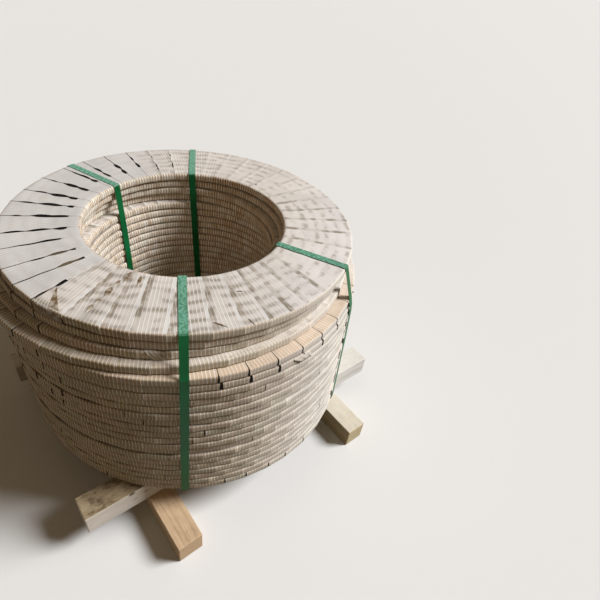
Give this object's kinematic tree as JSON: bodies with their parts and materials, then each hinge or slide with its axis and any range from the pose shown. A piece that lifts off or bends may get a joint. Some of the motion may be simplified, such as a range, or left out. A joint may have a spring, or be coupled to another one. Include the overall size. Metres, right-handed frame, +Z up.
{
  "type": "strapped stack of steel strip coils",
  "caption": "Stack of flat-wound narrow steel strip coils in tape wrap, strapped through the eye and standing on a skid of crossed timbers, for lifting by fork or coil hook.",
  "frame": {"origin": "middle of the whole footprint, on the floor", "axes": "+Z up, along the eye of the coils; +X along the lower timbers; +Y along the upper timbers"},
  "size_m": [0.9846, 0.9922, 0.6695],
  "materials": {
    "strip": "bright rolled strip edges",
    "wrap": "creped kraft tape with white threads",
    "strap": "smooth green polyester strapping",
    "timber": "rough sawn softwood"
  },
  "bodies": {
    "root": {"strip_coil_01": "strip", "wrap_01": "wrap", "wrapped_coil_02": "wrap", "wrapped_coil_03": "wrap", "wrapped_coil_04": "wrap", "wrapped_coil_05": "wrap", "wrapped_coil_06": "wrap", "wrapped_coil_07": "wrap", "wrapped_coil_08": "wrap", "wrapped_coil_09": "wrap", "wrapped_coil_10": "wrap", "wrapped_coil_11": "wrap", "wrapped_coil_12": "wrap", "wrapped_coil_13": "wrap", "wrapped_coil_14": "wrap", "wrapped_coil_15": "wrap", "wrapped_coil_16": "wrap", "wrapped_coil_17": "wrap", "wrapped_coil_18": "wrap", "wrapped_coil_19": "wrap", "wrapped_coil_20": "wrap", "wrapped_coil_21": "wrap", "wrapped_coil_22": "wrap", "wrapped_coil_23": "wrap", "strap_front": "strap", "strap_right": "strap", "strap_back": "strap", "strap_left": "strap", "lower_timber_front": "timber", "lower_timber_back": "timber", "upper_timber_left": "timber", "upper_timber_right": "timber"}
  },
  "joints": []
}
